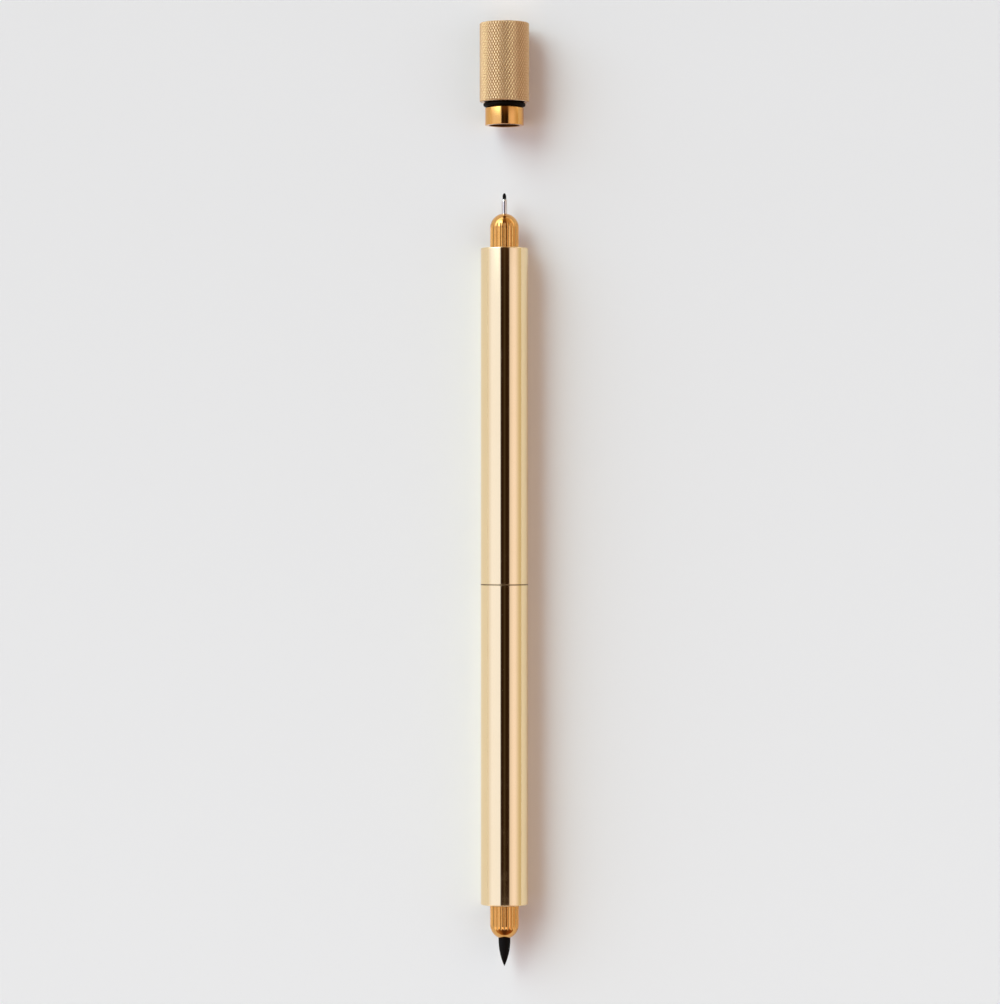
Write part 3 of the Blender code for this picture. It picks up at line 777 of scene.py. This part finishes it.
def capGrip():
    c = capPlan
    piece = added("capKnurl", bmesh.new())
    grown(piece, knurlTree(gripBrass), {
        "Starts": c["starts"], "Radius": c["knurl"] * mm, "Depth": c["depth"] * mm, "Flat": c["flat"],
        "Slope": tan(radians(c["helix"])), "Length": c["length"] * mm,
        "Start": capLine["start"], "Height": capHeight,
    })
    shape = bmesh.new()
    shape.from_mesh(piece.data)
    low, high = capLine["start"], capLine["start"] + c["length"] * mm
    for k in range(1, c["chamferCuts"] + 1):  # extra rings in the chamfers
        inset = k / c["chamferCuts"] * c["chamfer"] * mm
        sliced(shape, low + inset)
        sliced(shape, high - inset)
    sliced(shape, low, -1, True)
    sliced(shape, high, 1, True)
    for vert in shape.verts:  # the chamfers are turned after the knurl is rolled
        rise = vert.co.z - capHeight
        out = sqrt(vert.co.x**2 + rise**2)
        limit = (c["knurl"] - c["chamfer"]) * mm + min(vert.co.y - low, high - vert.co.y)
        if out > limit:
            vert.co.x *= limit / out
            vert.co.z = capHeight + rise * limit / out
    turns = [2 * pi * k / c["steps"] for k in range(c["steps"])]
    walls = []
    for y in (low, high):  # close each end down to the core
        rim = [v for v in shape.verts if v.is_boundary and abs(v.co.y - y) < c["rimSlack"] * mm]
        inner = [shape.verts.new(at(capLine, (y - low) / mm, c["core"], turn)) for turn in turns]
        stitched(shape, rim, inner)
        walls.append(inner)
    for k in range(c["steps"]):  # the side against the core
        shape.faces.new((walls[0][k - 1], walls[0][k], walls[1][k], walls[1][k - 1]))
    bmesh.ops.recalc_face_normals(shape, faces=shape.faces)
    shape.to_mesh(piece.data)
    shape.free()
    settled(piece, gripBrass, "cap", ["cap_shell"], sharp=12)


capBody()
capGrip()
ring("capRing", capLine, ringPlan["middle"], "cap", "cap_o_ring")
print("cap knurled")


refillFinish = {
    "nib_holder": holderPlastic, "cartridge": tubePlastic, "reservoir": felt, "end_plug": plugPlastic,
}
for half in ("fineliner", "brush"):
    for part, material in refillFinish.items():
        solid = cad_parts[half + "_" + part]
        solid.data.materials.clear()
        solid.data.materials.append(material)
print("refills painted")


floorPlan = {
    "half": 2.0, "height": -0.00003, "paintedBright": (0.95, 0.945, 0.94), "paintedDim": (0.905, 0.9, 0.895), "reach": 0.16,
    "rough": 0.75, "shine": 0.1,
}


def layFloor():
    f = floorPlan
    shape = bmesh.new()
    bmesh.ops.create_grid(shape, x_segments=1, y_segments=1, size=f["half"])
    for vert in shape.verts:
        vert.co.z = f["height"]
    piece = added("floor", shape)
    made, net = newMaterial("paleBoard")
    place = net.node("ShaderNodeTexCoord", out="Object")
    x, y, z = place.split()
    grain = cloud(place, 1500.0, 4.0)
    mottle = cloud(place, 60.0, 4.0)
    # the floor is painted darker towards the cap's end as a painted light falloff, with random mottle
    colour = (y.fade(-f["reach"], f["reach"]) * 0.9 + mottle * 0.1).tint(f["paintedBright"], f["paintedDim"])
    settings = {"Base Color": colour, "Roughness": f["rough"] + grain * 0.1, "Specular IOR Level": f["shine"]}
    finished(net, settings, bumped(grain, 0.04, 0.0001))
    piece.data.materials.append(made)


# panels of the studio: from and to, in degrees round the pen's axis with 0 overhead, and a colour
cardBlack = (0.014, 0.006, 0.002)
skyPlan = {
    "strength": 1.8, "seen": (0.835, 0.83, 0.838),
    "capSideFade": (0.12, 0.3), "capEndFade": (0.72, 0.88),
    "brushSideFade": (0.19, 0.34), "brushEndFade": (0.4, 0.58),
    "square": {  # straight across the pen
        "leftWall": (-180, -88, (0.45, 0.44, 0.45)), "window": (-64, -21, (0.56, 0.61, 0.79)),
        "leftCard": (-17, -6, cardBlack), "slit": (-1, 3, (0.03, 0.022, 0.012)),
        "rightCard": (7, 22, cardBlack),
        "screenEdge": (27, 28, (0.47, 0.43, 0.45)), "screen": (43, 54, (0.56, 0.52, 0.58)),
        "rightWall": (78, 180, (0.36, 0.32, 0.24)),
    },
    "capSide": {  # leaning towards the cap
        "leftWall": (-180, -90, (0.85, 1.0, 1.1)), "curtain": (-76, -66, (1.3, 1.5, 1.8)),
        "window": (-41, -30, (2.35, 3.0, 3.05)), "card": (-19, 16, (0.1, 0.05, 0.025)),
        "screen": (34, 70, (0.34, 0.27, 0.2)), "rightWall": (90, 180, (0.9, 0.9, 0.9)),
    },
    "capEnd": {  # beyond the cap
        "leftWall": (-180, -66, (0.95, 1.1, 1.4)), "window": (-46, -40, (0.75, 0.85, 0.9)),
        "card": (-20, 20, (0.13, 0.08, 0.03)), "screen": (48, 72, (0.36, 0.28, 0.2)),
        "rightWall": (179, 180, (1.0, 0.95, 0.9)),
    },
    "brushSide": {  # leaning towards the brush
        "leftWall": (-180, -78, (0.95, 0.92, 0.9)), "curtain": (-56, -28, (0.84, 0.73, 0.62)),
        "ceiling": (-16, 20, (1.03, 0.87, 0.83)), "screen": (32, 46, (0.56, 0.31, 0.18)),
        "rightWall": (74, 180, (0.57, 0.54, 0.5)),
    },
    "brushEnd": {  # beyond the brush
        "leftWall": (-180, -80, (0.28, 0.19, 0.13)), "curtain": (-52, -48, (0.17, 0.085, 0.03)),
        "card": (-22, 20, (0.055, 0.025, 0.01)), "screen": (60, 72, (0.145, 0.06, 0.025)),
        "rightWall": (179, 180, (0.34, 0.16, 0.08)),
    },
}


def hangLight():
    s = skyPlan
    world = bpy.data.worlds.new("studio")
    scene.world = world
    world.use_nodes = True
    world.node_tree.nodes.clear()
    net = Wire(world.node_tree)
    x, y, z = net.node("ShaderNodeTexCoord", out="Generated").split()
    turn = x.math("ARCTAN2", x, z) / (2 * pi) + 0.5

    def band(name):
        stops = [(side / 360 + 0.5, colour) for *sides, colour in s[name].values() for side in sides]
        return net.node("ShaderNodeValToRGB", {"stops": stops}, {0: turn})

    back = y * -1
    capward = y.fade(*s["capEndFade"]).tint(band("capSide"), band("capEnd"))
    brushward = back.fade(*s["brushEndFade"]).tint(band("brushSide"), band("brushEnd"))
    lit = y.fade(*s["capSideFade"]).tint(band("square"), capward)
    lit = back.fade(*s["brushSideFade"]).tint(lit, brushward)
    sky = net.node("ShaderNodeBackground", None, {"Color": lit, "Strength": s["strength"]})
    plain = net.node("ShaderNodeBackground", None, {"Color": (*s["seen"], 1.0), "Strength": 1.0})
    seen = net.node("ShaderNodeLightPath", out="Is Camera Ray")
    mixed = net.node("ShaderNodeMixShader", None, {0: seen, 1: sky, 2: plain})
    net.node("ShaderNodeOutputWorld", None, {"Surface": mixed})


cameraPlan = {"lens": 136.3, "sensor": 36.0, "clip": 0.01, "place": (-0.93, -1.53, 804.98)}


def aimCamera():
    c = cameraPlan
    lens = bpy.data.cameras.new("camera")
    lens.lens = c["lens"]
    lens.sensor_width = c["sensor"]
    lens.clip_start = c["clip"]
    camera = bpy.data.objects.new("camera", lens)
    camera.location = [value * mm for value in c["place"]]
    scene.collection.objects.link(camera)
    scene.camera = camera


layFloor()
hangLight()
aimCamera()
scene.view_settings.view_transform = "Standard"
print("floor, light and camera set")
